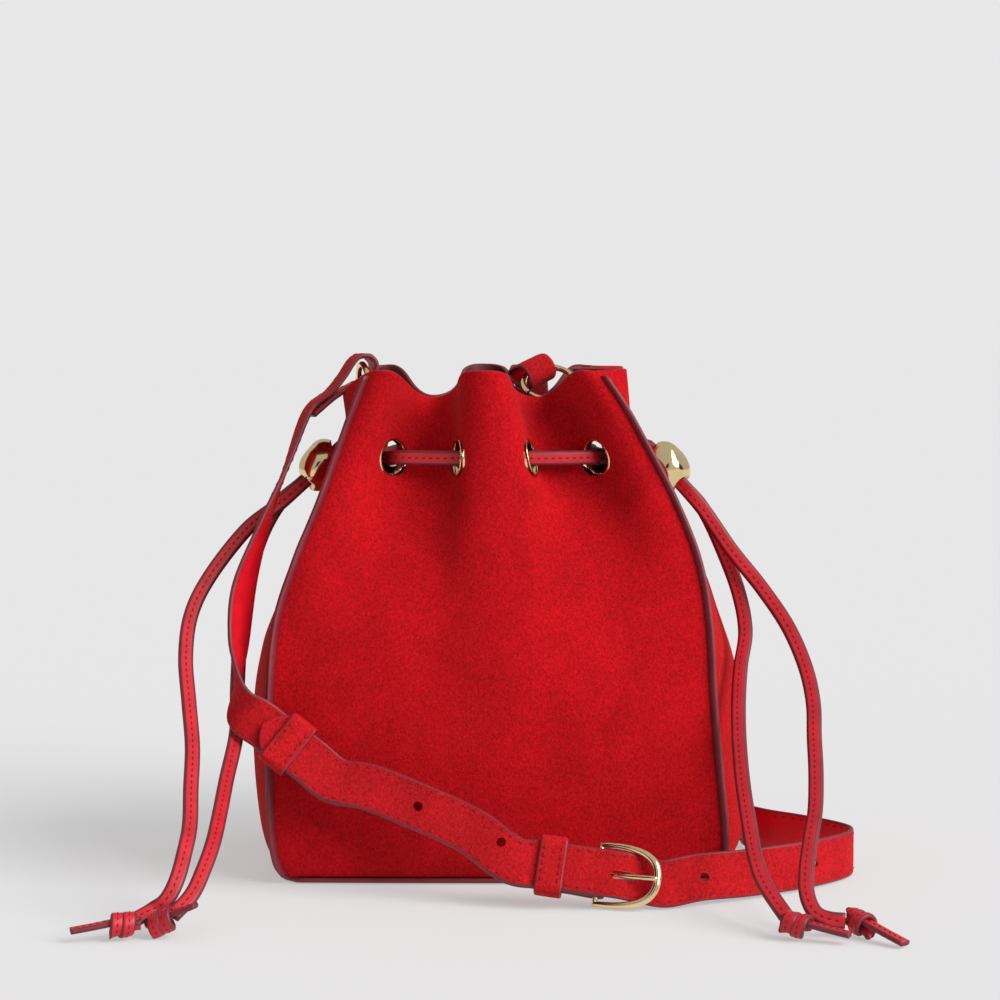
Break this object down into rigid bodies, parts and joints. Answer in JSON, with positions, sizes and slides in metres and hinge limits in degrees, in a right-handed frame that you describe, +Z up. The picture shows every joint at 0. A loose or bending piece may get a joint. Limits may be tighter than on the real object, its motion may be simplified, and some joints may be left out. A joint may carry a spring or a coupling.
{
  "type": "drawstring bucket bag",
  "caption": "Suede bucket bag gathered by two drawcords through eyelets, with sliding beads, knotted cord ends and a buckled shoulder strap on gate rings.",
  "frame": {"origin": "centre of the base, on the surface that the bag stands on", "axes": "+Z up, -Y towards the front panel that the strap crosses, +X to the right seen from the front"},
  "size_m": [0.3163, 0.3045, 0.218],
  "materials": {
    "red_suede": "brushed red suede with a short nap",
    "strap_suede": "red suede, sewn along both edges",
    "cord_leather": "red leather strip with a sewn middle line",
    "painted_edge": "dark red edge paint, satin",
    "lining_cloth": "dark red woven lining",
    "stiffener_board": "fibre board",
    "polished_gold": "polished pale gold plating"
  },
  "bodies": {
    "bag": {"front_panel": "red_suede", "back_panel": "red_suede", "left_gusset": "red_suede", "right_gusset": "red_suede", "base_panel": "red_suede", "base_board": "stiffener_board", "lining": "lining_cloth", "front_left_welt": "painted_edge", "front_right_welt": "painted_edge", "back_left_welt": "painted_edge", "back_right_welt": "painted_edge", "base_welt": "painted_edge", "front_eyelet_1": "polished_gold", "front_eyelet_2": "polished_gold", "front_eyelet_3": "polished_gold", "front_eyelet_4": "polished_gold", "back_eyelet_1": "polished_gold", "back_eyelet_2": "polished_gold", "back_eyelet_3": "polished_gold", "back_eyelet_4": "polished_gold", "left_eyelet": "polished_gold", "right_eyelet": "polished_gold", "front_drawcord": "cord_leather", "back_drawcord": "cord_leather", "left_front_tail": "cord_leather", "left_back_tail": "cord_leather", "right_front_tail": "cord_leather", "right_back_tail": "cord_leather", "left_front_knot": "cord_leather", "left_back_knot": "cord_leather", "right_front_knot": "cord_leather", "right_back_knot": "cord_leather", "left_tab": "strap_suede", "right_tab": "strap_suede", "buckle_strap": "strap_suede", "billet_strap": "strap_suede", "fixed_keeper": "strap_suede", "buckle_frame": "polished_gold"},
    "left_bead_body": {"left_bead": "polished_gold"},
    "right_bead_body": {"right_bead": "polished_gold"},
    "left_ring_body": {"left_ring": "polished_gold", "left_gate_pin": "polished_gold"},
    "right_ring_body": {"right_ring": "polished_gold", "right_gate_pin": "polished_gold"},
    "left_gate_body": {"left_ring_gate": "polished_gold"},
    "right_gate_body": {"right_ring_gate": "polished_gold"},
    "keeper_body": {"sliding_keeper": "strap_suede"},
    "prong_body": {"buckle_prong": "polished_gold"}
  },
  "joints": [
    {"name": "left_bead_slide", "type": "slide", "parent": "bag", "child": "left_bead_body", "axis": [-0.7403, -0.1501, -0.6553], "range_m": [0, 0.012]},
    {"name": "right_bead_slide", "type": "slide", "parent": "bag", "child": "right_bead_body", "axis": [0.6789, -0.1498, -0.7188], "range_m": [0, 0.012]},
    {"name": "left_ring_swing", "type": "hinge", "parent": "bag", "child": "left_ring_body", "pos_m": [-0.05621, -0.002, 0.19178], "axis": [0.267, -0.9632, 0.032], "range_deg": [-5, 5]},
    {"name": "right_ring_swing", "type": "hinge", "parent": "bag", "child": "right_ring_body", "pos_m": [0.02749, -0.00381, 0.1997], "axis": [0.7993, 0.4759, 0.3668], "range_deg": [-5, 5]},
    {"name": "left_gate_turn", "type": "hinge", "parent": "left_ring_body", "child": "left_gate_body", "pos_m": [-0.0581, 0.00397, 0.19352], "axis": [0.9563, 0.269, 0.1148], "range_deg": [0, 30], "stiffness_Nm_per_rad": 0.004, "springref_deg": -17.19},
    {"name": "right_gate_turn", "type": "hinge", "parent": "right_ring_body", "child": "right_gate_body", "pos_m": [0.02136, -0.00553, 0.19839], "axis": [-0.0021, 0.6127, -0.7903], "range_deg": [0, 30], "stiffness_Nm_per_rad": 0.004, "springref_deg": -17.19},
    {"name": "keeper_slide", "type": "slide", "parent": "bag", "child": "keeper_body", "axis": [0.7906, -0.1201, -0.6005], "range_m": [-0.004, 0.01]},
    {"name": "prong_lift", "type": "hinge", "parent": "bag", "child": "prong_body", "pos_m": [0.03926, -0.09333, 0.01277], "axis": [-0.1511, -0.3555, -0.9224], "range_deg": [0, 12]}
  ]
}
